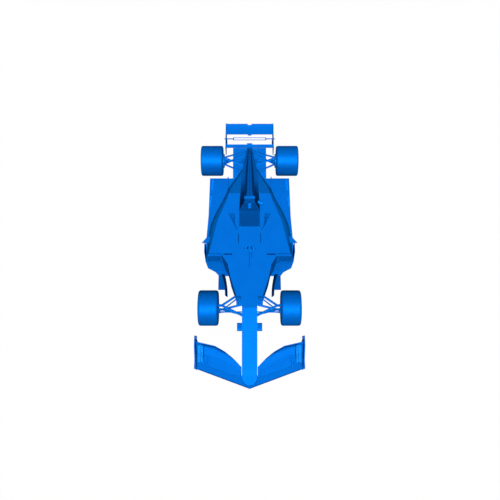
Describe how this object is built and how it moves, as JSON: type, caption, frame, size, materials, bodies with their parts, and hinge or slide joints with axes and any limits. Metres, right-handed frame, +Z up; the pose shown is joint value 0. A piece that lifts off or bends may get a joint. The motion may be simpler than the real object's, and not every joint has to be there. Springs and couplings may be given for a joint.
{
  "type": "open wheel racing car",
  "caption": "Single-seat circuit racing car with exposed wheels, swept front wing, open cockpit, sidepods, tapering engine cover and rear wing; wheels roll and the front wheels steer.",
  "frame": {"origin": "on the ground, at the centre of the car's length and width", "axes": "+X to the driver's left, -Y forward, +Z up"},
  "size_m": [2, 5.27, 0.96],
  "materials": {
    "body_paint": "satin blue paint over laminate",
    "wing_paint": "satin blue paint over laminate",
    "floor_composite": "blue painted composite",
    "tyre_rubber": "blue slick rubber",
    "wheel_metal": "blue anodised",
    "link_coating": "blue painted links and uprights",
    "cast_metal": "blue painted casting",
    "seat_trim": "blue moulded seat shell",
    "grip_plastic": "blue moulded grip"
  },
  "bodies": {
    "chassis": {"bargeboard_left": "wing_paint", "bargeboard_right": "wing_paint", "camera_bar": "body_paint", "diffuser": "floor_composite", "engine": "cast_metal", "engine_cover": "body_paint", "floor": "floor_composite", "front_endplate_left": "wing_paint", "front_endplate_right": "wing_paint", "front_flap_left": "wing_paint", "front_flap_right": "wing_paint", "front_suspension_left": "link_coating", "front_suspension_right": "link_coating", "front_wing_main": "wing_paint", "gearbox": "cast_metal", "hoop_pod": "body_paint", "monocoque": "body_paint", "nose": "body_paint", "nose_cameras": "body_paint", "rear_endplate_left": "wing_paint", "rear_endplate_right": "wing_paint", "rear_suspension_left": "link_coating", "rear_suspension_right": "link_coating", "rear_upright_left": "link_coating", "rear_upright_right": "link_coating", "rear_wing_flap": "wing_paint", "rear_wing_pylon": "wing_paint", "rear_wing_rods": "wing_paint", "rear_wing_slat": "wing_paint", "seat": "seat_trim", "side_vanes": "body_paint", "sidepod_left": "body_paint", "sidepod_right": "body_paint", "telemetry_pod": "body_paint"},
    "knuckle_left": {"knuckle_front_left": "link_coating"},
    "knuckle_right": {"knuckle_front_right": "link_coating"},
    "rack": {"steering_rack": "link_coating"},
    "hand_wheel": {"steering_wheel": "grip_plastic"},
    "wheel_front_left": {"rim_front_left": "wheel_metal", "tyre_front_left": "tyre_rubber"},
    "wheel_front_right": {"rim_front_right": "wheel_metal", "tyre_front_right": "tyre_rubber"},
    "wheel_rear_left": {"rim_rear_left": "wheel_metal", "tyre_rear_left": "tyre_rubber", "drive_shaft_left": "link_coating"},
    "wheel_rear_right": {"rim_rear_right": "wheel_metal", "tyre_rear_right": "tyre_rubber", "drive_shaft_right": "link_coating"}
  },
  "joints": [
    {"name": "steer_left", "type": "hinge", "parent": "chassis", "child": "knuckle_left", "pos_m": [0.545, -1.2, 0.325], "axis": [0, 0, 1], "range_deg": [-18, 18]},
    {"name": "steer_right", "type": "hinge", "parent": "chassis", "child": "knuckle_right", "pos_m": [-0.545, -1.2, 0.325], "axis": [0, 0, 1], "range_deg": [-18, 18]},
    {"name": "rack_slide", "type": "slide", "parent": "chassis", "child": "rack", "axis": [1, 0, 0], "range_m": [-0.0255, 0.0255]},
    {"name": "hand_wheel_turn", "type": "hinge", "parent": "chassis", "child": "hand_wheel", "pos_m": [0, 0.29, 0.425], "axis": [0, 1, 0], "range_deg": [-165, 165]},
    {"name": "spin_front_left", "type": "hinge", "parent": "knuckle_left", "child": "wheel_front_left", "pos_m": [0.75, -1.2, 0.325], "axis": [1, 0, 0], "continuous": true},
    {"name": "spin_front_right", "type": "hinge", "parent": "knuckle_right", "child": "wheel_front_right", "pos_m": [-0.75, -1.2, 0.325], "axis": [1, 0, 0], "continuous": true},
    {"name": "spin_rear_left", "type": "hinge", "parent": "chassis", "child": "wheel_rear_left", "pos_m": [0.77, 2.08, 0.31], "axis": [1, 0, 0], "continuous": true},
    {"name": "spin_rear_right", "type": "hinge", "parent": "chassis", "child": "wheel_rear_right", "pos_m": [-0.77, 2.08, 0.31], "axis": [1, 0, 0], "continuous": true}
  ],
  "couplings": [
    {"joint": "steer_right", "follows": "steer_left", "ratio": 1},
    {"joint": "rack_slide", "follows": "steer_left", "m_per_rad": 0.07967},
    {"joint": "hand_wheel_turn", "follows": "steer_left", "ratio": 9}
  ]
}
